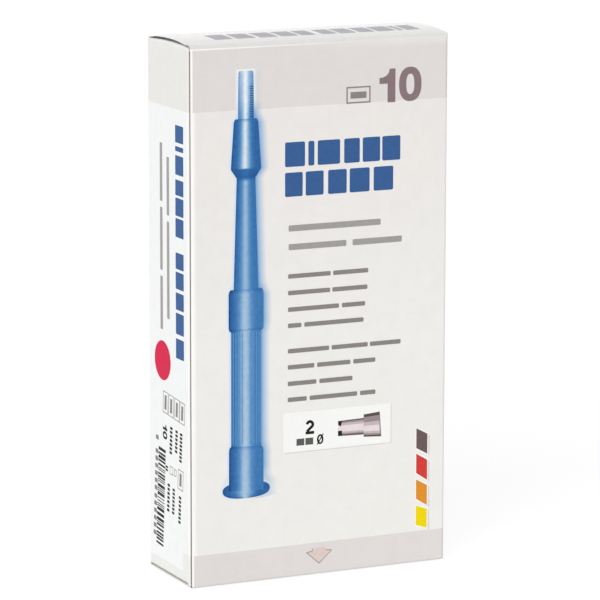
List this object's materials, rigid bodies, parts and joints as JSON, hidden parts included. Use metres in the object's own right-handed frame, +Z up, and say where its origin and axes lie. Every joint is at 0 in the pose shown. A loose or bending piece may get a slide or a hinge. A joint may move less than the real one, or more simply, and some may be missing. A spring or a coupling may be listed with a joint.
{
  "type": "biopsy punch carton",
  "caption": "Slim upright folding carton of pale boxboard with a tuck lid at each end, holding sealed pouches of disposable instruments.",
  "frame": {"origin": "centre of the flat base that the carton stands on", "axes": "+Z up the carton's height, +X to the right across the front, -Y out of the front"},
  "size_m": [0.069, 0.0254, 0.1328],
  "materials": {
    "boxboard": "coated white boxboard with a satin varnish",
    "pouch_paper": "matt sterile paper pouch with flat heat seals"
  },
  "bodies": {
    "carton": {"carton_body": "boxboard", "pouch_row1_1": "pouch_paper", "pouch_row1_2": "pouch_paper", "pouch_row1_3": "pouch_paper", "pouch_row1_4": "pouch_paper", "pouch_row1_5": "pouch_paper", "pouch_row2_1": "pouch_paper", "pouch_row2_2": "pouch_paper", "pouch_row2_3": "pouch_paper", "pouch_row2_4": "pouch_paper", "pouch_row2_5": "pouch_paper"},
    "top_lid": {"top_lid": "boxboard"},
    "bottom_lid": {"bottom_lid": "boxboard"}
  },
  "joints": [
    {"name": "top_lid_fold", "type": "hinge", "parent": "carton", "child": "top_lid", "pos_m": [0, -0.01275, 0.1312], "axis": [1, 0, 0], "range_deg": [0, 170]},
    {"name": "bottom_lid_fold", "type": "hinge", "parent": "carton", "child": "bottom_lid", "pos_m": [0, 0.01275, 0.0008], "axis": [1, 0, 0], "range_deg": [0, 170]}
  ]
}
